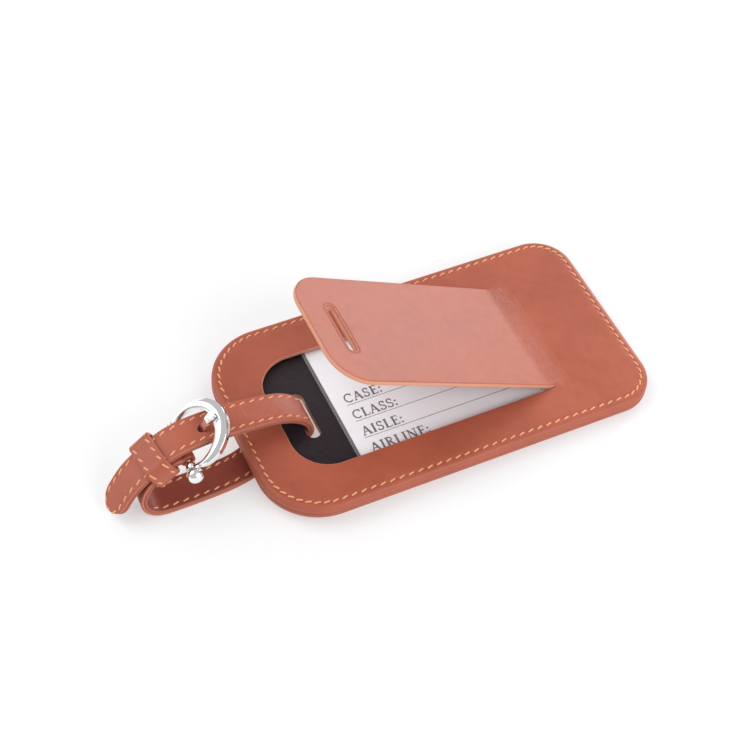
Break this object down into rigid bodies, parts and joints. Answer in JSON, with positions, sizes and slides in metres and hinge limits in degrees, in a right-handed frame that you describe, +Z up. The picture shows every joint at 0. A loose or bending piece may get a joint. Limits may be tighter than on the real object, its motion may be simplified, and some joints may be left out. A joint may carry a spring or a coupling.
{
  "type": "luggage tag",
  "caption": "Leather luggage tag: stitched case with a lift-up privacy flap over an address card, and a buckled strap looped through a slot.",
  "frame": {"origin": "on the table, under the middle of the whole tag's bounding box", "axes": "+X along the case towards its closed end, +Y across it, +Z up from the table the tag lies on"},
  "size_m": [0.1526, 0.0636, 0.0422],
  "materials": {
    "tan_leather": "satin",
    "strap_leather": "satin",
    "strap_inner_leather": "satin",
    "board": "matt",
    "black_lining": "fine grain",
    "film": "clear gloss",
    "card": "matt paper",
    "thread": "waxed",
    "chrome": "polished"
  },
  "bodies": {
    "case": {"front_panel": "tan_leather", "back_panel": "tan_leather", "core_board": "board", "lining_panel": "black_lining", "window_film": "film", "perimeter_thread_front": "thread", "perimeter_thread_back": "thread"},
    "flap": {"privacy_flap": "tan_leather"},
    "card": {"id_card": "card"},
    "strap": {"strap_outer_leather": "strap_leather", "strap_lining_leather": "strap_inner_leather", "strap_thread_top": "thread", "strap_thread_under": "thread"},
    "buckle": {"buckle_frame": "chrome", "buckle_bar": "chrome", "buckle_bar_knob": "chrome", "buckle_bar_cap": "chrome"},
    "prong": {"buckle_prong": "chrome"},
    "keeper": {"keeper_band": "strap_leather", "keeper_thread": "thread", "keeper_staple": "chrome"}
  },
  "joints": [
    {"name": "flap_hinge", "type": "hinge", "parent": "case", "child": "flap", "pos_m": [0.04957, 0, 0.00547], "axis": [0, 1, 0], "range_deg": [-17.5, 122]},
    {"name": "card_slide", "type": "slide", "parent": "case", "child": "card", "axis": [-0.9997, 0, 0.0251], "range_m": [0, 0.005]},
    {"name": "strap_swing", "type": "hinge", "parent": "case", "child": "strap", "pos_m": [-0.01729, 0, 0.00375], "axis": [0, -1, 0], "range_deg": [0, 2.5]},
    {"name": "buckle_tilt", "type": "hinge", "parent": "strap", "child": "buckle", "pos_m": [-0.05346, -0.0017, 0.0126], "axis": [0, 1, 0], "range_deg": [0, 2.5]},
    {"name": "prong_lift", "type": "hinge", "parent": "strap", "child": "prong", "pos_m": [-0.05346, -0.0017, 0.0126], "axis": [0, -1, 0], "range_deg": [0, 5]},
    {"name": "keeper_slide", "type": "slide", "parent": "strap", "child": "keeper", "axis": [-0.8637, -0.1356, -0.4854], "range_m": [-0.0004, 0.0006]}
  ]
}
